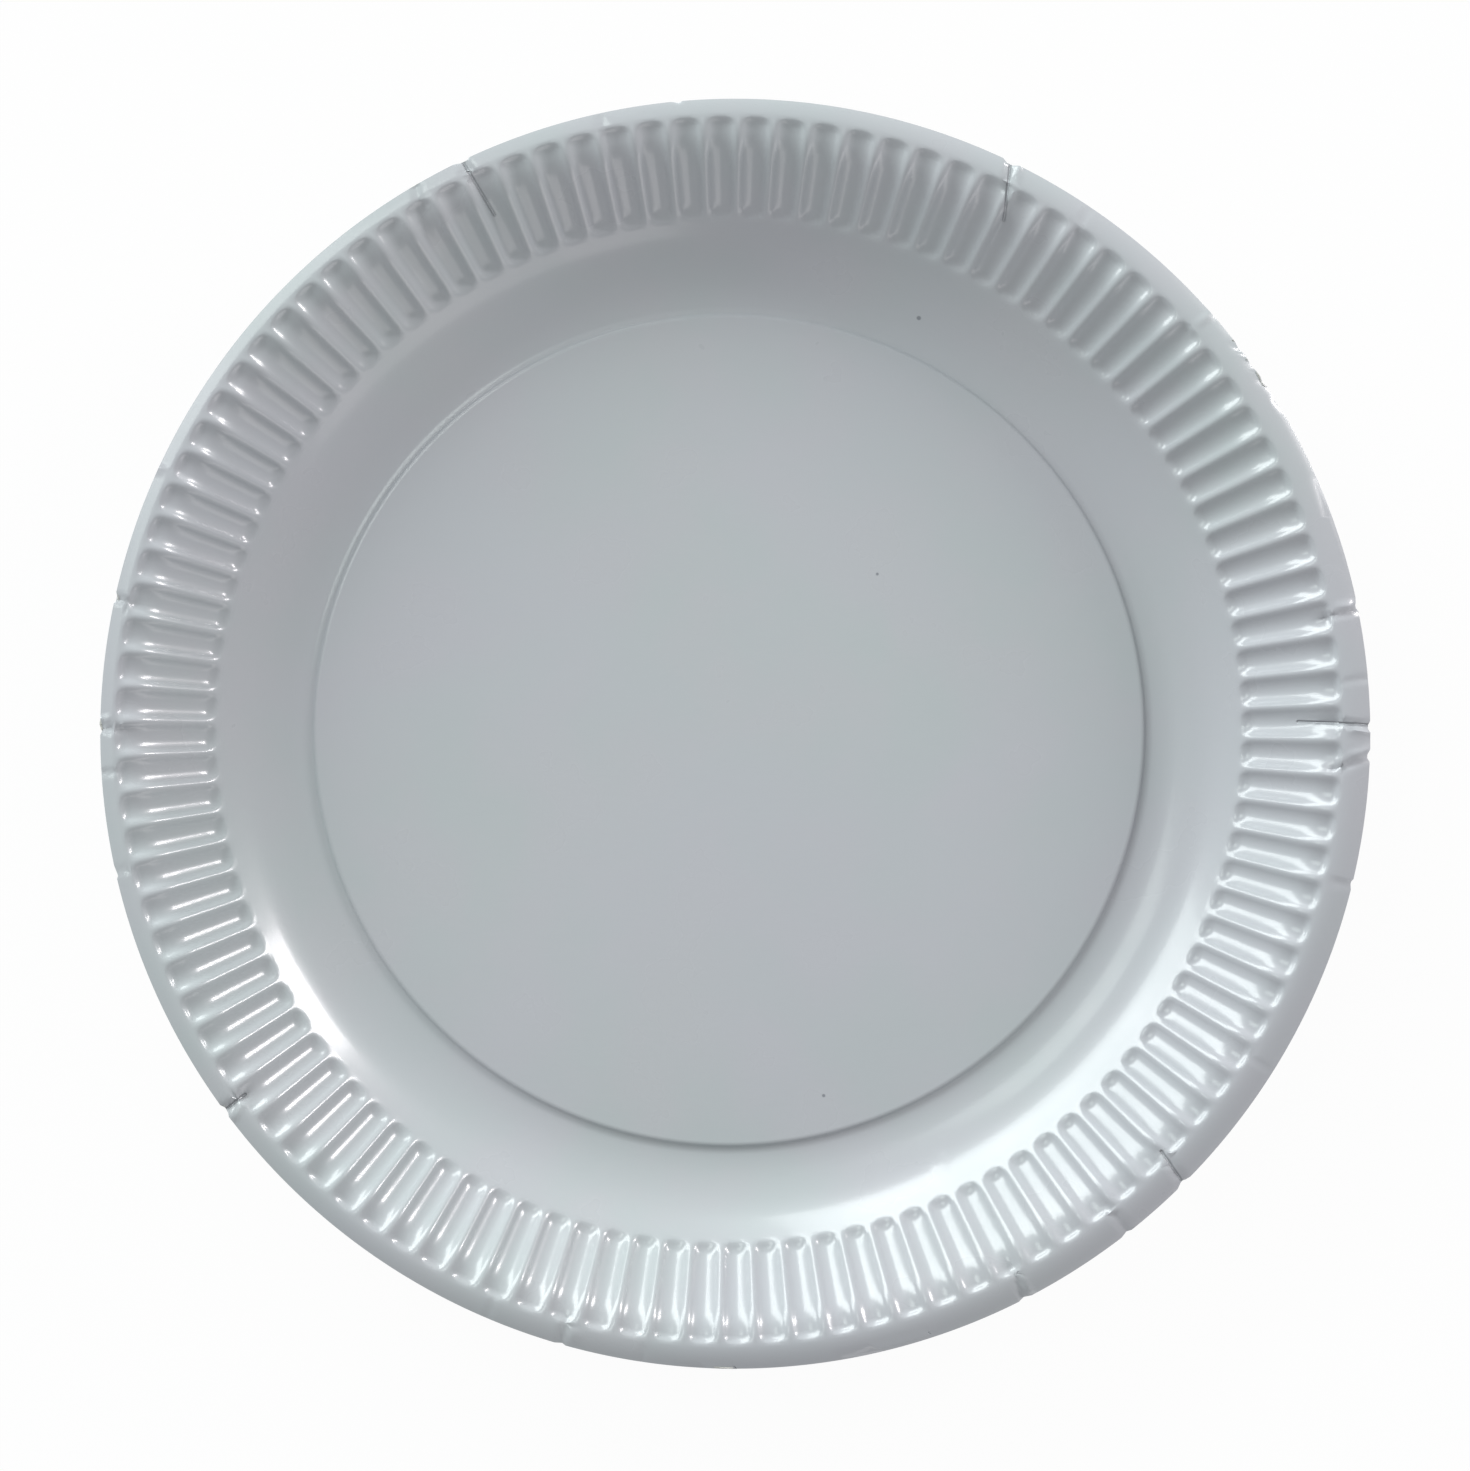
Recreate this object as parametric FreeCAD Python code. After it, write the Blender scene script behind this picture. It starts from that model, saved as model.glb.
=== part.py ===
import FreeCAD, Part

import math
import os

from FreeCAD import Vector

# Paper plate, pressed in one piece from a round blank of coated board.
# +Z is up, z = 0 is the surface that the plate stands on, and the origin is
# the centre of the cut edge. The press tool struck the blank a little off
# centre, so the panel, the wall and the flutes share an axis of their own.

DIMENSIONS = [
    ("plate_diameter", 230, "across the cut edge"),
    ("board_thickness", 0.4, "caliper of the board"),
    ("press_offset_x", -1.2, "axis of the pressed shape from the blank's centre"),
    ("press_offset_y", 0.65, "axis of the pressed shape from the blank's centre"),
    ("rim_width", 4.4, "crest of the rim to the cut edge, on a centred blank"),
    ("rim_roll_width", 1.8, "crest to the line where the rim turns down"),
    ("rim_drop_angle", 30, "steepest slope of the turned-down rim"),
    ("wall_run", 33.1, "edge of the flat foot to the crest, seen from above"),
    ("wall_angle", 40, "slope of the straight part of the wall"),
    ("lower_bend_radius", 21, "foot to wall"),
    ("upper_bend_radius", 9, "wall to rim"),
    ("foot_width", 1.2, "flat ring that the plate stands on"),
    ("panel_rise", 0.6, "centre panel above the foot"),
    ("panel_step_run", 0.8, "width of the sloping step round the panel"),
    ("flute_count", 108, "channels pressed round the wall"),
    ("flute_phase", 2.55, "degrees from +X to the middle of the first channel"),
    ("flute_overrun", 0.5, "outer end of a channel past the crest"),
    ("flute_run", 18.05, "length of a channel, seen from above"),
    ("flute_depth", 0.9, "ridge to channel floor"),
    ("flute_end_run", 1.5, "length of the slope at each end of a channel"),
    ("flute_inner_width", 4.1, "channel between its ridges, inner end"),
    ("flute_outer_width", 4.9, "channel between its ridges, outer end"),
    ("flute_side_run", 0.9, "width of a channel's sloping side"),
    ("flute_end_width", 2.3, "straight part of a channel's rounded end"),
]


def make_sheet(doc):
    sheet = doc.addObject("Spreadsheet::Sheet", "Dimensions")
    for row, (alias, value, note) in enumerate(DIMENSIONS, start=1):
        sheet.set(f"A{row}", alias)
        sheet.set(f"B{row}", str(value))
        sheet.set(f"C{row}", note)
        sheet.setAlias(f"B{row}", alias)
    doc.recompute()
    return sheet


class Section:
    """Top line of the board along a radius of the pressed shape."""

    def __init__(self, dim):
        self.dim = dim
        self.slope = math.radians(dim.wall_angle)
        self.drop = math.radians(dim.rim_drop_angle)
        self.crest = dim.plate_diameter / 2 - dim.rim_width
        self.foot_edge = self.crest - dim.wall_run
        self.wall_start = self.foot_edge + dim.lower_bend_radius * math.sin(self.slope)
        self.wall_end = self.crest - dim.upper_bend_radius * math.sin(self.slope)
        self.wall_start_z = self.lower_bend_z(self.slope)
        wall_rise = (self.wall_end - self.wall_start) * math.tan(self.slope)
        bend_rise = dim.upper_bend_radius * (1 - math.cos(self.slope))
        self.crest_z = self.wall_start_z + wall_rise + bend_rise

    def lower_bend_z(self, slope):
        return self.dim.board_thickness + self.dim.lower_bend_radius * (1 - math.cos(slope))

    def upper_bend_z(self, slope):
        return self.crest_z - self.dim.upper_bend_radius * (1 - math.cos(slope))

    def at(self, radius):
        """Height and slope of the top surface between the channels."""
        if radius <= self.foot_edge:
            return self.dim.board_thickness, 0.0
        if radius <= self.wall_start:
            slope = math.asin((radius - self.foot_edge) / self.dim.lower_bend_radius)
            return self.lower_bend_z(slope), slope
        if radius <= self.wall_end:
            rise = (radius - self.wall_start) * math.tan(self.slope)
            return self.wall_start_z + rise, self.slope
        drop_start = self.crest + self.dim.upper_bend_radius * math.sin(self.drop)
        if radius <= drop_start:
            slope = math.asin((self.crest - radius) / self.dim.upper_bend_radius)
            return self.upper_bend_z(slope), slope
        fall = (radius - drop_start) * math.tan(self.drop)
        return self.upper_bend_z(self.drop) - fall, -self.drop


class Ring:
    """Points of the board on one circle round the pressed shape's axis.

    A point lies at an angle, at a depth below the top surface measured
    square to the board's slope there.
    """

    def __init__(self, radius, height, tilt, stretch=1.0):
        self.radius = radius
        self.height = height
        self.tilt = tilt
        self.stretch = stretch

    def point(self, angle, depth=0.0):
        reach = self.radius + depth * math.sin(self.tilt)
        height = self.height - depth * math.cos(self.tilt)
        return Vector(reach * math.cos(angle), reach * math.sin(angle), height)


def facet(*corners):
    """Flat face through corners that lie in one plane."""
    return Part.Face(Part.makePolygon([*corners, corners[0]]))


def flat_ring(outer, inner):
    wires = [Part.makePolygon([*points, points[0]]) for points in (outer, inner)]
    return Part.makeFace(wires, "Part::FaceMakerBullseye")


class PressedBoard:
    """The plate as facets of its top and its underside, joined at the cut edge."""

    def __init__(self, dim):
        self.dim = dim
        self.section = Section(dim)
        self.count = round(dim.flute_count)
        self.half_pitch = math.pi / self.count
        self.press_axis = Vector(dim.press_offset_x, dim.press_offset_y, 0)
        self.axis_from_blank = turned(self.press_axis, -dim.flute_phase)
        self.flute_out = self.section.crest + dim.flute_overrun
        self.flute_in = self.flute_out - dim.flute_run

    def ring_at(self, radius):
        height, slope = self.section.at(radius)
        return Ring(radius, height, slope)

    def panel_rings(self):
        """The two corners of the step round the centre panel."""
        dim = self.dim
        outer = self.section.foot_edge - dim.foot_width
        step_slope = math.atan2(dim.panel_rise, dim.panel_step_run)
        tilt = -step_slope / 2
        stretch = 1 / math.cos(tilt)
        top = dim.board_thickness + dim.panel_rise
        return (
            Ring(outer - dim.panel_step_run, top, tilt, stretch),
            Ring(outer, dim.board_thickness, tilt, stretch),
        )

    def flute_rings(self):
        """Rings across the channels, from their inner ends to their outer ends."""
        dim = self.dim
        deep_in = self.flute_in + dim.flute_end_run
        deep_out = self.flute_out - dim.flute_end_run
        bend_middle = (self.section.wall_end + deep_out) / 2
        radii = [deep_in, self.section.wall_end, bend_middle, deep_out]
        return [self.ring_at(radius) for radius in [self.flute_in, *radii, self.flute_out]]

    def flute_half_width(self, radius):
        share = (radius - self.flute_in) / self.dim.flute_run
        widening = self.dim.flute_outer_width - self.dim.flute_inner_width
        return (self.dim.flute_inner_width + share * widening) / 2

    def across(self, ring, side, under):
        """Shoulder and floor points of one side of the channel centred on angle 0."""
        dim = self.dim
        skin = dim.board_thickness * ring.stretch if under else 0.0
        side_slope = math.atan2(dim.flute_depth, dim.flute_side_run)
        corner_shift = skin * math.tan(side_slope / 2)
        if ring.radius in (self.flute_in, self.flute_out):
            end = (dim.flute_end_width / 2 + corner_shift) / ring.radius
            return ring.point(side * end, skin), ring.point(side * end, skin)
        shoulder = self.flute_half_width(ring.radius) + corner_shift
        floor = shoulder - dim.flute_side_run
        return (
            ring.point(side * shoulder / ring.radius, skin),
            ring.point(side * floor / ring.radius, skin + dim.flute_depth),
        )

    def pitch_facets(self, under):
        """Facets of one channel and of the ridge beside it, clear of the cut edge."""
        facets = []
        pitch = math.degrees(2 * self.half_pitch)
        skin = self.dim.board_thickness if under else 0.0

        def next_pitch(point):
            return turned(point, pitch)

        step_in, step_out = self.panel_rings()
        step_skin = skin * step_in.stretch
        bend_run = self.flute_in - self.section.foot_edge
        shares = (0, 0.35, 0.7)
        bends = [self.ring_at(self.section.foot_edge + share * bend_run) for share in shares]
        rings = [(step_in, step_out, step_skin)]
        rings += [(inner, outer, skin) for inner, outer in zip(bends, bends[1:])]
        bend = bends[-1]
        left, right = self.half_pitch, -self.half_pitch
        for inner, outer, depth in rings:
            facets.append(
                facet(
                    inner.point(right, depth),
                    outer.point(right, depth),
                    outer.point(left, depth),
                    inner.point(left, depth),
                )
            )

        flutes = self.flute_rings()
        start_left, _ = self.across(flutes[0], 1, under)
        start_right, _ = self.across(flutes[0], -1, under)
        bend_left = bend.point(left, skin)
        facets.append(facet(bend.point(right, skin), start_right, start_left, bend_left))
        facets.append(facet(bend_left, start_left, next_pitch(start_right)))

        for inner, outer in zip(flutes, flutes[1:]):
            in_left = self.across(inner, 1, under)
            in_right = self.across(inner, -1, under)
            out_left = self.across(outer, 1, under)
            out_right = self.across(outer, -1, under)
            facets.append(facet(in_right[1], out_right[1], out_left[1], in_left[1]))
            ridge = [in_left[0], out_left[0], next_pitch(out_right[0]), next_pitch(in_right[0])]
            facets.append(facet(*ridge))
            for near, far in ((in_left, out_left), (in_right, out_right)):
                if far[0] != far[1]:
                    facets.append(facet(near[0], far[0], far[1]))
                if near[0] != near[1]:
                    facets.append(facet(near[0], far[1], near[1]))

        roll = self.ring_at(self.section.crest + self.dim.rim_roll_width)
        end_left, _ = self.across(flutes[-1], 1, under)
        end_right, _ = self.across(flutes[-1], -1, under)
        roll_left = roll.point(left, skin)
        facets.append(facet(end_right, roll.point(right, skin), roll_left, end_left))
        facets.append(facet(end_left, roll_left, next_pitch(end_right)))
        return facets

    def edge_point(self, angle, under):
        """Point of the cut edge, which is a circle round the blank's own centre."""
        heading = Vector(math.cos(angle), math.sin(angle), 0)
        along = heading.dot(self.axis_from_blank)
        blank_radius = self.dim.plate_diameter / 2
        chord = along**2 - self.axis_from_blank.dot(self.axis_from_blank) + blank_radius**2
        radius = math.sqrt(chord) - along
        height, slope = self.section.at(radius)
        skin = self.dim.board_thickness / math.cos(slope) if under else 0.0
        return heading * radius + Vector(0, 0, height - skin)

    def rim_facets(self, angle):
        """Facets from the rolled rim to the cut edge, over one pitch."""
        facets = []
        roll = self.ring_at(self.section.crest + self.dim.rim_roll_width)
        left, right = angle + self.half_pitch, angle - self.half_pitch
        for under in (False, True):
            skin = self.dim.board_thickness if under else 0.0
            out_left = self.edge_point(left, under)
            out_right = self.edge_point(right, under)
            facets.append(facet(roll.point(right, skin), out_right, roll.point(left, skin)))
            facets.append(facet(out_right, out_left, roll.point(left, skin)))
        edge_ends = [self.edge_point(side, False) for side in (right, left)]
        under_ends = [self.edge_point(side, True) for side in (left, right)]
        facets.append(facet(*edge_ends, *under_ends))
        return facets

    def polygon(self, ring, depth):
        angles = [(2 * step + 1) * self.half_pitch for step in range(self.count)]
        return [ring.point(angle, depth) for angle in angles]

    def level_facets(self, under):
        """The centre panel and the flat foot."""
        skin = self.dim.board_thickness if under else 0.0
        step_in, step_out = self.panel_rings()
        foot = self.ring_at(self.section.foot_edge)
        step_skin = skin * step_in.stretch
        foot_inner = self.polygon(step_out, step_skin)
        return [
            facet(*self.polygon(step_in, step_skin)),
            flat_ring(self.polygon(foot, skin), foot_inner),
        ]

    def solid(self):
        facets = []
        for under in (False, True):
            facets += self.level_facets(under)
            for one in self.pitch_facets(under):
                for step in range(self.count):
                    turn = math.degrees(2 * self.half_pitch * step)
                    facets.append(one.rotated(Vector(), Vector(0, 0, 1), turn))
        for step in range(self.count):
            facets += self.rim_facets(2 * self.half_pitch * step)
        skin = Part.makeCompound(facets)
        skin.sewShape()
        board = Part.Solid(skin.Shells[0])
        if board.Volume < 0:
            board.reverse()
        board.rotate(Vector(), Vector(0, 0, 1), self.dim.flute_phase)
        board.translate(self.press_axis)
        return board


def turned(point, degrees):
    """Point turned about the pressed shape's axis."""
    return FreeCAD.Rotation(Vector(0, 0, 1), degrees).multVec(point)


def make_plate(doc, sheet):
    plate = doc.addObject("Part::Feature", "Plate")
    plate.Label = "plate"
    plate.Shape = PressedBoard(sheet).solid()
    return plate


def check(doc, parts):
    for item in doc.Objects:
        if {"Invalid", "Error"} & set(item.State):
            raise RuntimeError(f"{item.Label} failed: {item.State}")
    for part in parts:
        shape = part.Shape
        if shape.isNull() or not shape.isValid() or len(shape.Solids) != 1:
            raise RuntimeError(f"{part.Label} is not one valid solid")
        print(part.Label, "volume", round(shape.Volume, 1), "faces", len(shape.Faces))


def main():
    doc = FreeCAD.newDocument("PaperPlate")
    sheet = make_sheet(doc)
    parts = [make_plate(doc, sheet)]
    doc.recompute()
    check(doc, parts)
    os.makedirs("parts", exist_ok=True)
    for part in parts:
        part.Shape.exportStep(f"parts/{part.Label}.step")


main()
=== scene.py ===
import math

import bmesh
import bpy
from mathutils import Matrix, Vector

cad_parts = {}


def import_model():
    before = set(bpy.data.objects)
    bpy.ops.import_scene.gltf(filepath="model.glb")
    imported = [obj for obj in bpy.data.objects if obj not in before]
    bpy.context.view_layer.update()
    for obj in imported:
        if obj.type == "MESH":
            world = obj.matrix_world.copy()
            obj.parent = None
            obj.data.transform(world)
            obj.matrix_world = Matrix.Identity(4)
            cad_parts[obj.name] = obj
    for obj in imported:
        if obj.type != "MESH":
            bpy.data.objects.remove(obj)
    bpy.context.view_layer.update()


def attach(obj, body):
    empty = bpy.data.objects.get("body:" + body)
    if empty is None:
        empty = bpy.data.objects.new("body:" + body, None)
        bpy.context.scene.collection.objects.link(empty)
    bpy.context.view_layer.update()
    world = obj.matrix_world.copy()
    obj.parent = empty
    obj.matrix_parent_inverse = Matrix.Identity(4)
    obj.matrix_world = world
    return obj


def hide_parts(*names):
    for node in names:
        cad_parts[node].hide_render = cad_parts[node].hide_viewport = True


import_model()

mm = 0.001

# Paper plate: one pressed sheet, seen from straight above on a white ground.
# Lengths in the settings are millimetres and angles are degrees.


# Small helpers for edit mode

def editedSheet():
    sheet = bmesh.from_edit_mesh(bpy.context.object.data)
    sheet.verts.ensure_lookup_table()
    return sheet


def selectOnly(indices):
    bpy.ops.mesh.select_all(action="DESELECT")
    sheet = editedSheet()
    for index in indices:
        sheet.verts[index].select = True
    sheet.select_flush_mode()
    bmesh.update_edit_mesh(bpy.context.object.data, loop_triangles=False, destructive=False)


def verticesWhere(test):
    # index and place of each vertex that passes
    return {vertex.index: vertex.co.copy() for vertex in editedSheet().verts if test(vertex.co)}


def move(x, y, z):
    bpy.ops.transform.translate(value=(x * mm, y * mm, z * mm))


# The section: the top of the sheet along one radius of the pressed shape

section = {
    "panel edge": 75.7, "panel rise": 0.6, "step run": 0.62,
    "foot edge": 77.5, "sheet": 0.4,
    "lower bend": 21.0, "upper bend": 9.0, "wall slope": 40.0,
    "crest": 110.6, "cut edge": 114.8, "sharp above": 48,
}


def wallFacts():
    slope = math.radians(section["wall slope"])
    start = section["foot edge"] + section["lower bend"] * math.sin(slope)
    end = section["crest"] - section["upper bend"] * math.sin(slope)
    foot = section["sheet"] + section["lower bend"] * (1 - math.cos(slope))
    crest = foot + (end - start) * math.tan(slope) + section["upper bend"] * (1 - math.cos(slope))
    return slope, start, end, foot, crest


def sectionAt(radius):
    # height in mm and slope in radians
    slope, start, end, foot, crest = wallFacts()
    stepStart = section["panel edge"]
    stepEnd = stepStart + section["step run"]
    if radius < stepEnd:
        share = min(max((radius - stepStart) / section["step run"], 0), 1)
        ease = share * share * (3 - 2 * share)
        return section["sheet"] + section["panel rise"] * (1 - ease), 0.0
    if radius < section["foot edge"]:
        return section["sheet"], 0.0
    if radius < start:
        here = math.asin((radius - section["foot edge"]) / section["lower bend"])
        return section["sheet"] + section["lower bend"] * (1 - math.cos(here)), here
    if radius < end:
        return foot + (radius - start) * math.tan(slope), slope
    here = math.asin((section["crest"] - radius) / section["upper bend"])
    return crest - section["upper bend"] * (1 - math.cos(here)), here


# One pitch of the plate: a slice that is spun round and joined to itself

flute = {
    "count": 108, "inner end": 93.05, "outer end": 111.1, "depth": 1.12,
    "inner width": 4.7, "outer width": 5.6, "end round": 2.1, "end slope": 1.5,
    "end lip": 0.12, "end width": 0.42, "phase": 2.55, "seam": 0.004,
}
rowsInside = [0.0, 38.0, 75.2, 75.7, 75.9, 76.12, 76.32, 77.5, 79.2, 81.0, 82.8, 84.6, 86.4, 88.2,
              89.9, 91.3, 92.4]
rowsFlute = [93.05, 93.3, 93.7, 94.2, 94.9, 96.0, 98.5, 101.5, 104.5, 106.4, 108.0,
             109.2, 109.9, 110.4, 110.8, 111.1]
rowsRim = [111.6, 112.2, 112.9, 113.7, 114.3, 114.8]
# across the channel as a share of its half width, and how deep the sheet lies there
channelShape = [(0.0, 1.0), (0.3, 0.93), (0.58, 0.73), (0.8, 0.42), (1.0, 0.03)]
spunShare = 0.7  # the spun shoulder, as a share of the half pitch
halfPitch = math.pi / flute["count"]
samePlace = 0.01  # vertices this close to a worked-out place are the ones meant


def smooth(share):
    share = min(max(share, 0), 1)
    return share * share * (3 - 2 * share)


def channelHalfWidth(radius):
    along = (radius - flute["inner end"]) / (flute["outer end"] - flute["inner end"])
    half = (flute["inner width"] + along * (flute["outer width"] - flute["inner width"])) / 2
    fromEnd = min(radius - flute["inner end"], flute["outer end"] - radius)
    if fromEnd < flute["end round"]:
        share = 1 - fromEnd / flute["end round"]
        half *= flute["end width"] + (1 - flute["end width"]) * math.sqrt(1 - share * share)
    return half


def channelDepth(radius):
    fromEnd = min(radius - flute["inner end"], flute["outer end"] - radius)
    share = (fromEnd + flute["end lip"]) / (flute["end slope"] + flute["end lip"])
    return flute["depth"] * smooth(share)


def drawProfile():
    # a plane merged to one vertex, then extruded point by point along the section
    bpy.ops.mesh.primitive_plane_add(size=0.01, enter_editmode=True)
    bpy.ops.mesh.select_all(action="SELECT")
    bpy.ops.mesh.merge(type="CENTER")
    rows = rowsInside + rowsFlute + rowsRim
    turn = -halfPitch
    place = Vector((0, 0, 0))
    for count, radius in enumerate(rows):
        height = sectionAt(radius)[0]
        target = Vector((radius * math.cos(turn), radius * math.sin(turn), height))
        step = (target - place) * mm
        if count == 0:
            bpy.ops.transform.translate(value=step)
        else:
            bpy.ops.mesh.extrude_region_move(TRANSFORM_OT_translate={"value": step})
        place = target


def spinSlice():
    # columns are closer together where the channel's sides will be
    shares = [share * spunShare for share, deep in channelShape]
    columns = sorted({-1.0, 1.0, *shares, *[-share for share in shares]})
    bpy.ops.mesh.select_all(action="SELECT")
    for first, second in zip(columns, columns[1:]):
        bpy.ops.mesh.spin(
            steps=1, angle=(first - second) * halfPitch, center=(0, 0, 0), axis=(0, 0, 1)
        )


def pressChannel():
    for radius in rowsFlute:
        height, slope = sectionAt(radius)
        half = channelHalfWidth(radius)
        depth = channelDepth(radius)
        for share, deep in channelShape:
            angle = share * spunShare * halfPitch
            along, across = radius * math.cos(angle), radius * math.sin(angle)
            places = [Vector((along, side * across, height)) * mm for side in (-1, 1)]
            chosen = verticesWhere(
                lambda co: min((co - place).length for place in places) < samePlace * mm
            )
            if not chosen:
                continue
            selectOnly(chosen)
            if share > 0:
                bpy.ops.transform.resize(
                    value=(1, half * share / across, 1), center_override=(0, 0, 0)
                )
            if depth * deep > 0:
                move(depth * deep * math.sin(slope), 0, -depth * deep * math.cos(slope))


def spinPlate():
    bpy.ops.mesh.select_all(action="SELECT")
    bpy.ops.transform.rotate(
        value=math.radians(flute["phase"]), orient_axis="Z", center_override=(0, 0, 0)
    )
    bpy.ops.mesh.select_all(action="SELECT")
    bpy.ops.mesh.spin(
        steps=flute["count"] - 1, dupli=True, angle=2 * halfPitch * (flute["count"] - 1),
        center=(0, 0, 0), axis=(0, 0, 1)
    )
    bpy.ops.mesh.select_all(action="SELECT")
    bpy.ops.mesh.remove_doubles(threshold=flute["seam"] * mm)
    bpy.ops.mesh.normals_make_consistent(inside=False)
    if sum(face.normal.z for face in editedSheet().faces) < 0:
        bpy.ops.mesh.flip_normals()


# The blank lay off centre under the press, so the rim is wider at one side

rim = {
    "press x": -1.2, "press y": 0.65, "same ring": 0.05, "highest": 18.97,
    "creased from": 84.0, "notched from": 114.55,
}


def trimRim():
    bpy.ops.mesh.select_all(action="SELECT")
    move(rim["press x"], rim["press y"], 0)
    axis = Vector((rim["press x"], rim["press y"])) * mm
    rimStart = rowsRim[0]
    near = rim["same ring"] * mm
    for radius in rowsRim[1:]:
        share = (radius - rimStart) / (section["cut edge"] - rimStart)
        ring = verticesWhere(lambda co: abs((co.xy - axis).length - radius * mm) < near)
        selectOnly(ring)
        move(-rim["press x"] * share, -rim["press y"] * share, 0)
        slope = sectionAt(radius)[1]
        sheet = editedSheet()
        # the moved ring keeps to the section's slope, so it is lower where it is wider
        for index in ring:
            place = sheet.verts[index].co
            place.z += place.xy.normalized().dot(-axis) * share * math.tan(slope)
        bmesh.update_edit_mesh(bpy.context.object.data)


# Creases, folds and notches in the rim. Places are points on the plate in mm.

creases = [
    # start, end, half width, depth (down is positive)
    ((-57.7, 98.6), (-53.7, 80.5), 0.55, 0.30),
    ((-49.5, 103.7), (-43.7, 94.1), 0.60, 0.55),
    ((-48.2, 101.6), (-43.0, 92.2), 0.35, -0.25),
    ((-24.2, 111.2), (-22.8, 105.5), 0.45, 0.18),
    ((49.7, 103.2), (48.6, 93.0), 0.55, 0.60),
    ((51.3, 102.7), (49.9, 96.5), 0.35, -0.30),
    ((48.6, 93.0), (45.2, 87.8), 0.35, 0.18),
    ((64.0, 94.9), (61.6, 91.2), 0.45, 0.18),
    ((85.7, 76.0), (82.0, 72.4), 0.45, -0.25),
    ((112.0, 23.4), (105.0, 21.8), 0.40, -0.30),
    ((112.3, 22.3), (106.0, 20.9), 0.40, 0.35),
    ((114.2, 10.0), (110.0, 9.5), 0.40, 0.18),
    ((114.6, 1.6), (102.0, 2.2), 0.45, 0.50),
    ((114.6, 0.5), (105.0, 1.0), 0.40, -0.35),
    ((114.6, -2.9), (107.0, -5.6), 0.45, -0.40),
    ((114.4, -4.2), (108.0, -6.5), 0.40, 0.40),
    ((111.2, -27.4), (108.0, -26.5), 0.40, 0.25),
    ((97.0, -60.8), (93.0, -58.5), 0.40, 0.15),
    ((80.5, -80.6), (77.0, -75.5), 0.55, 0.50),
    ((77.0, -75.5), (71.0, -73.0), 0.45, 0.30),
    ((70.6, -89.8), (67.2, -85.2), 0.50, 0.35),
    ((52.0, -101.4), (49.3, -94.4), 0.50, 0.45),
    ((53.2, -100.9), (50.6, -95.4), 0.35, -0.30),
    ((38.5, -78.2), (36.1, -82.8), 0.35, -0.20),
    ((-31.5, -109.6), (-30.6, -105.6), 0.45, 0.35),
    ((-29.4, -109.3), (-28.8, -106.0), 0.40, -0.30),
    ((-17.0, -113.2), (-16.6, -110.2), 0.40, 0.15),
    ((-45.0, -105.4), (-43.6, -102.0), 0.40, 0.15),
    ((-92.2, -68.0), (-88.7, -65.2), 0.50, 0.60),
    ((-91.0, -69.3), (-87.6, -66.5), 0.40, -0.30),
    ((-112.0, -25.0), (-109.5, -24.5), 0.40, 0.20),
    ((-114.3, -7.0), (-111.0, -6.8), 0.40, 0.20),
    ((-114.5, 1.2), (-109.0, 0.6), 0.45, 0.45),
    ((-114.5, 2.6), (-110.5, 2.2), 0.40, -0.30),
    ((-112.2, 24.5), (-107.5, 23.2), 0.45, 0.35),
    ((-104.0, 48.0), (-101.0, 46.8), 0.50, -0.22),
]
notches = [
    # azimuth round the blank's centre, half width in degrees, bite in mm
    (115.4, 0.55, 0.55), (95.2, 0.35, 0.25), (64.2, 0.60, 0.55), (11.6, 0.40, 0.35),
    (0.6, 0.45, 0.40), (-2.0, 0.50, 0.45), (-13.6, 0.35, 0.30), (-45.0, 0.55, 0.50),
    (-51.9, 0.40, 0.35), (-62.8, 0.50, 0.40), (216.4, 0.60, 0.60), (192.8, 0.35, 0.30),
    (179.6, 0.50, 0.45), (167.6, 0.45, 0.40), (254.0, 0.40, 0.30),
    (31.5, 0.8, 0.25), (33.6, 0.6, 0.35), (35.5, 0.9, 0.22), (37.4, 0.6, 0.30),
]


# each crease and notch is made in two moves, so that its sides slope
creaseMoves = [(1.7, 0.4), (1.0, 0.6)]
notchMoves = [(1.0, 0.5), (0.45, 0.5)]


def distanceTo(start, end, place):
    line = end - start
    share = min(max((place - start).dot(line) / line.length_squared, 0), 1)
    return (start + line * share - place).length


def creaseRim():
    rimBand = verticesWhere(lambda co: co.xy.length > rim["creased from"] * mm)
    for start, end, halfWidth, depth in creases:
        first, last = Vector(start) * mm, Vector(end) * mm
        middle, reach = (first + last) / 2, (last - first).length / 2 + 2 * mm
        close = {index: co for index, co in rimBand.items() if (co.xy - middle).length < reach}
        for widening, part in creaseMoves:
            width = halfWidth * widening * mm
            chosen = [index for index, co in close.items() if distanceTo(first, last, co.xy) < width]
            if chosen:
                selectOnly(chosen)
                move(0, 0, -depth * part)
    for azimuth, halfWidth, bite in notches:
        out = Vector((math.cos(math.radians(azimuth)), math.sin(math.radians(azimuth))))
        for widening, part in notchMoves:
            cosine = math.cos(math.radians(halfWidth * widening))
            chosen = [
                index for index, co in rimBand.items()
                if co.xy.length > rim["notched from"] * mm and co.xy.normalized().dot(out) > cosine
            ]
            if chosen:
                selectOnly(chosen)
                move(-out.x * bite * part, -out.y * bite * part, 0)


def levelCreases():
    # no fold stands higher than the rim's crest
    high = verticesWhere(lambda co: co.z > rim["highest"] * mm)
    if high:
        selectOnly(high)
        bpy.ops.transform.resize(value=(1, 1, 0), center_override=(0, 0, rim["highest"] * mm))


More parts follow.
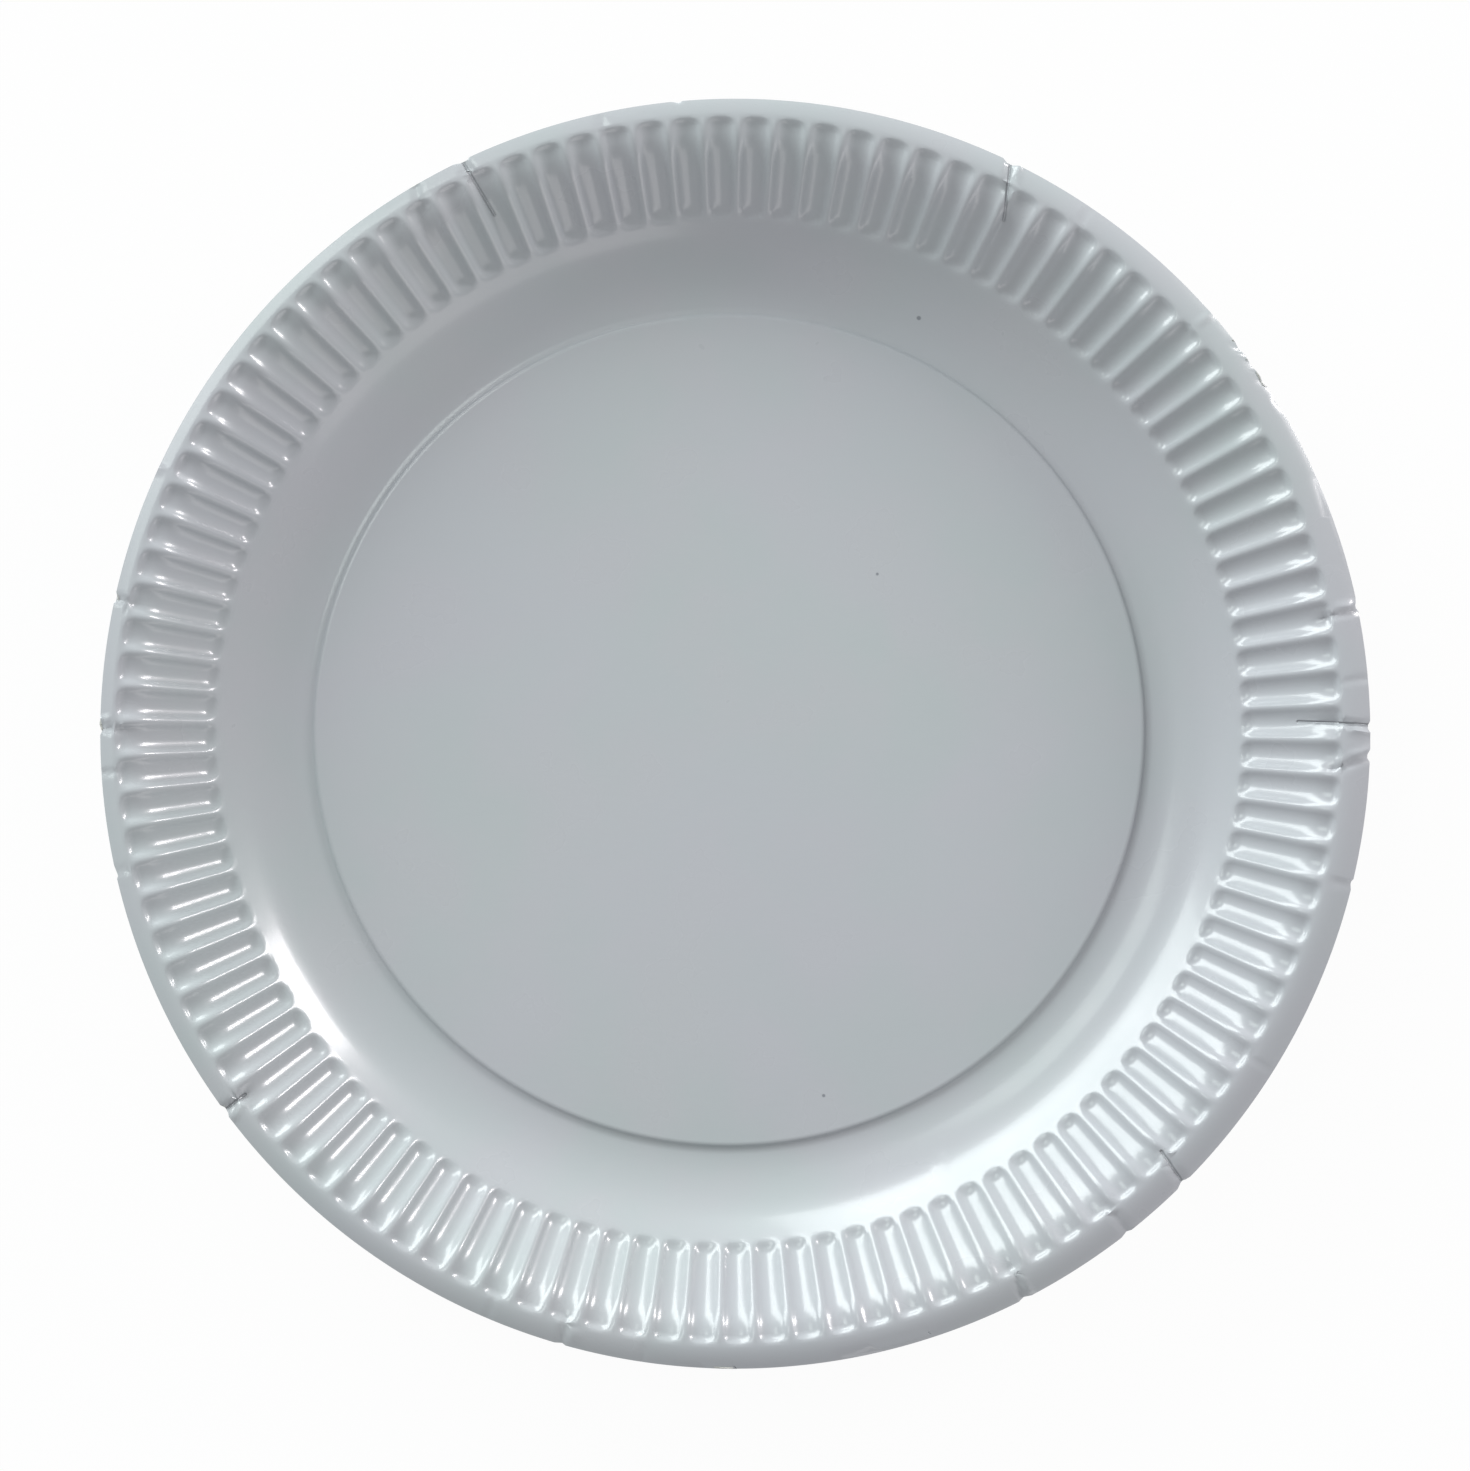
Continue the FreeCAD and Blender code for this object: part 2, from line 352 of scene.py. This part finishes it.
def giveThickness(piece):
    bpy.ops.object.mode_set(mode="OBJECT")
    thickness = piece.modifiers.new("sheet", "SOLIDIFY")
    thickness.thickness = section["sheet"] * mm
    thickness.offset = -1
    thickness.material_offset = 1
    thickness.material_offset_rim = 2
    bpy.ops.object.modifier_apply(modifier="sheet")
    bpy.ops.object.shade_smooth_by_angle(angle=math.radians(section["sharp above"]))


bpy.ops.object.select_all(action="DESELECT")
drawProfile()
spinSlice()
pressChannel()
spinPlate()
print("plate spun,", len(editedSheet().verts), "vertices")
trimRim()
creaseRim()
levelCreases()
plate = bpy.context.object
plate.name = "pressedPlate"
print("rim trimmed and creased")


# Materials

class Socket:
    # wraps a node's output, so that sums of sockets read as sums

    def __init__(self, tree, output):
        self.tree = tree
        self.output = output

    def combine(self, operation, *others):
        node = self.tree.nodes.new("ShaderNodeMath")
        node.operation = operation
        for slot, value in zip(node.inputs, (self, *others)):
            plug(self.tree, slot, value)
        return Socket(self.tree, node.outputs[0])

    def __add__(self, other):
        return self.combine("ADD", other)

    def __radd__(self, other):
        return self.combine("ADD", other)

    def __mul__(self, other):
        return self.combine("MULTIPLY", other)

    def __rmul__(self, other):
        return self.combine("MULTIPLY", other)

    def __sub__(self, other):
        return self.combine("SUBTRACT", other)

    def __rsub__(self, other):
        return self * -1 + other

    def between(self, low, high):
        # 0 at low and 1 at high, clamped
        node = self.tree.nodes.new("ShaderNodeMapRange")
        node.interpolation_type = "SMOOTHSTEP"
        plug(self.tree, node.inputs["Value"], self)
        node.inputs["From Min"].default_value = low
        node.inputs["From Max"].default_value = high
        return Socket(self.tree, node.outputs["Result"])


def plug(tree, slot, value):
    if isinstance(value, Socket):
        tree.links.new(value.output, slot)
    else:
        slot.default_value = value


class Finish:
    # a material being built up node by node

    def __init__(self, name):
        self.material = bpy.data.materials.new(name)
        self.material.use_nodes = True
        self.tree = self.material.node_tree
        self.surface = self.tree.nodes["Principled BSDF"]
        self.place = Socket(self.tree, self.tree.nodes.new("ShaderNodeTexCoord").outputs["Object"])

    def add(self, kind, settings=None, output=0, **inputs):
        # any node by type; inputs go by name, or as i0, i1 and so on by their order
        node = self.tree.nodes.new(kind)
        for name, value in (settings or {}).items():
            setattr(node, name, value)
        for name, value in inputs.items():
            slot = int(name[1:]) if name[1:].isdigit() else name.replace("_", " ")
            plug(self.tree, node.inputs[slot], value)
        return Socket(self.tree, node.outputs[output])

    def noise(self, scale, detail=2.0, stretch=(1, 1, 1)):
        vector = self.add("ShaderNodeMapping", Vector=self.place, Scale=stretch)
        return self.add("ShaderNodeTexNoise", Vector=vector, Scale=scale, Detail=detail)

    def mix(self, share, first, second):
        # the colour inputs and output of this node have the same names as its others
        settings = {"data_type": "RGBA"}
        return self.add("ShaderNodeMix", settings, output=2, i0=share, i6=first, i7=second)

    def vector(self, operation, first, second, output=0):
        settings = {"operation": operation}
        return self.add("ShaderNodeVectorMath", settings, output, i0=first, i1=second)

    def spot(self, x, y, radius):
        # 1 inside a small round mark on the panel or the foot
        away = self.vector("DISTANCE", self.place, Vector((x, y, markHeight)) * mm, output=1)
        return 1 - away.between(radius * 0.5 * mm, radius * mm)

    def line(self, start, end, halfWidth):
        # 1 on a thin straight line on the plate, fading to 0 at its sides
        first, run = Vector((*start, 0)) * mm, Vector((*end, 0)) * mm - Vector((*start, 0)) * mm
        plan = self.vector("MULTIPLY", self.place, (1, 1, 0))
        offset = self.vector("SUBTRACT", plan, first)
        share = self.vector("DOT_PRODUCT", offset, run / run.length_squared, output=1)
        share = share.combine("MAXIMUM", 0.0).combine("MINIMUM", 1.0)
        base = self.add("ShaderNodeCombineXYZ", X=run.x, Y=run.y)
        nearest = self.add("ShaderNodeVectorMath", {"operation": "SCALE"}, i0=base, Scale=share)
        away = self.vector("DISTANCE", offset, nearest, output=1)
        return 1 - away.between(0, halfWidth * mm)

    def bump(self, height, distance):
        normal = self.add("ShaderNodeBump", Height=height, Distance=distance * mm)
        plug(self.tree, self.surface.inputs["Normal"], normal)

    def set(self, **inputs):
        for name, value in inputs.items():
            plug(self.tree, self.surface.inputs[name.replace("_", " ")], value)


def linear(red, green, blue):
    # a colour read off a screen, 0 to 255, as Blender wants it
    return (*[((value / 255 + 0.055) / 1.055) ** 2.4 for value in (red, green, blue)], 1)


top = {
    "base": linear(184, 187, 190), "cool": linear(179, 187, 188), "warm": linear(186, 186, 193),
    # the fold colour is painted shade, laid along the deepest creases
    "speck": linear(120, 124, 130), "foldAndPaintedShade": linear(120, 125, 132),
    "roughness": 0.27, "roughness change": 0.07,
    "shine": 0.5, "coat": 0.45, "coat roughness": 0.13,
    "mottle": 45.0, "mottle share": 0.7, "patches": 16.0, "patch share": 0.5,
    "faded below": 0.35, "full above": 0.65, "speck share": 0.8,
    "weave": 1150.0, "weave height": 0.007,
    "waves": 60.0, "wave height": 0.05,
    "folds from": 0.5, "fold width": 0.42, "fold height": -0.30, "fold tint": 0.25,
}
marks = [(33.5, 76.0, 0.55), (16.1, -66.1, 0.40), (25.9, 29.2, 0.35)]
markHeight = 1.0


def boardTop():
    finish = Finish("coatedBoard")
    mottle = finish.noise(top["mottle"], 4.0).between(top["faded below"], top["full above"])
    patches = finish.noise(top["patches"], 2.0).between(top["faded below"], top["full above"])
    colour = finish.mix(mottle * top["mottle share"], top["base"], top["cool"])
    colour = finish.mix(patches * top["patch share"], colour, top["warm"])
    specks = finish.spot(*marks[0])
    for mark in marks[1:]:
        specks = specks + finish.spot(*mark)
    colour = finish.mix(specks * top["speck share"], colour, top["speck"])
    along = finish.noise(top["weave"], 2.0, (1.0, 0.25, 1.0))
    across = finish.noise(top["weave"], 2.0, (0.25, 1.0, 1.0))
    weave = along + across
    waves = finish.noise(top["waves"], 2.0)
    height = weave * top["weave height"] + waves * top["wave height"]
    for start, end, halfWidth, depth in creases:
        # only the deepest creases have a sharp line as well: a bump, and painted shade that darkens
        # the line
        if depth >= top["folds from"]:
            foldAndPaintedShade = finish.line(start, end, top["fold width"])
            height = height + foldAndPaintedShade * top["fold height"]
            # painted shade along the crease line
            colour = finish.mix(foldAndPaintedShade * top["fold tint"], colour, top["foldAndPaintedShade"])
    finish.set(
        Base_Color=colour, Roughness=mottle * top["roughness change"] + top["roughness"],
        Specular_IOR_Level=top["shine"], Coat_Weight=top["coat"],
        Coat_Roughness=top["coat roughness"],
    )
    finish.bump(height, 1.0)
    return finish.material


under = {
    "base": linear(196, 196, 192), "fleck": linear(182, 180, 172), "roughness": 0.85,
    "shine": 0.3, "fibre": 900.0, "fibre height": 0.01,
}


def boardUnder():
    finish = Finish("uncoatedBoard")
    fibre = finish.noise(under["fibre"], 6.0).between(0.4, 0.7)
    finish.set(
        Base_Color=finish.mix(fibre, under["base"], under["fleck"]),
        Roughness=under["roughness"], Specular_IOR_Level=under["shine"],
    )
    finish.bump(fibre, under["fibre height"])
    return finish.material


edge = {
    "base": linear(214, 214, 208), "fleck": linear(150, 150, 150), "roughness": 0.9,
    "shine": 0.2, "fibre": 1500.0,
}


def boardEdge():
    finish = Finish("cutBoard")
    fibre = finish.noise(edge["fibre"], 5.0).between(0.45, 0.75)
    finish.set(
        Base_Color=finish.mix(fibre, edge["base"], edge["fleck"]),
        Roughness=edge["roughness"], Specular_IOR_Level=edge["shine"],
    )
    return finish.material


for material in (boardTop(), boardUnder(), boardEdge()):
    plate.data.materials.append(material)
giveThickness(plate)
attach(plate, "root")
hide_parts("plate")
print("plate finished")


# Ground, lamps, world and camera

ground = {
    "size": 3.0, "below": 0.0002, "colour": (0.8, 0.8, 0.8, 1), "seen white": 0.96,
    "roughness": 0.9, "shine": 0.1,
}
room = {"colour": (0.97, 0.975, 1.0, 1), "level": 0.43}


def whiteGround():
    bpy.ops.mesh.primitive_plane_add(size=ground["size"], location=(0, 0, -ground["below"]))
    floor = bpy.context.object
    floor.name = "ground"
    finish = Finish("whiteGround")
    seen = finish.add("ShaderNodeLightPath", output="Is Camera Ray")
    white = finish.add("ShaderNodeEmission", Color=(1, 1, 1, 1), Strength=1.0)
    finish.set(
        Base_Color=ground["colour"], Roughness=ground["roughness"],
        Specular_IOR_Level=ground["shine"],
    )
    blend = finish.add("ShaderNodeMixShader", Fac=seen * ground["seen white"])
    node = blend.output.node
    finish.tree.links.new(finish.surface.outputs[0], node.inputs[1])
    finish.tree.links.new(white.output, node.inputs[2])
    finish.tree.links.new(blend.output, finish.tree.nodes["Material Output"].inputs["Surface"])
    floor.data.materials.append(finish.material)


def lamp(name, place, size, power, colour):
    data = bpy.data.lights.new(name, "AREA")
    data.shape = "RECTANGLE"
    data.size, data.size_y = size
    data.energy = power
    data.color = colour
    lampObject = bpy.data.objects.new(name, data)
    bpy.context.collection.objects.link(lampObject)
    lampObject.location = place
    lampObject.rotation_euler = (-Vector(place)).to_track_quat("-Z", "Y").to_euler()


def world():
    sky = bpy.data.worlds.new("room")
    bpy.context.scene.world = sky
    sky.use_nodes = True
    sky.node_tree.nodes["Background"].inputs["Color"].default_value = room["colour"]
    sky.node_tree.nodes["Background"].inputs["Strength"].default_value = room["level"]


# the view is as wide as given at the given level above the ground, in metres
camera = {
    "view": 0.2666, "level": 0.014, "away": 1.6, "x": -0.0001, "y": -0.0003,
    "film": 36, "nearest": 0.01,
}


def camerasEye():
    data = bpy.data.cameras.new("above")
    eye = bpy.data.objects.new("above", data)
    bpy.context.collection.objects.link(eye)
    eye.location = (camera["x"], camera["y"], camera["away"])
    data.sensor_width = camera["film"]
    data.lens = camera["film"] * (camera["away"] - camera["level"]) / camera["view"]
    data.clip_start = camera["nearest"]
    bpy.context.scene.camera = eye


whiteGround()
lamp("windowLeft", (-1.31, 1.68, 0.82), (2.6, 0.9), 56.0, (0.93, 1.0, 0.99))
lamp("windowRight", (1.28, 0.80, 0.50), (0.40, 0.34), 10.5, (1.0, 0.96, 0.97))
lamp("roomFill", (1.00, -1.70, 0.50), (1.8, 0.5), 4.5, (1.0, 0.98, 0.98))
lamp("windowHigh", (-0.50, 0.38, 1.35), (0.45, 0.45), 2.6, (0.90, 1.0, 0.96))
world()
camerasEye()
bpy.context.scene.view_settings.view_transform = "Standard"
print("stage set")
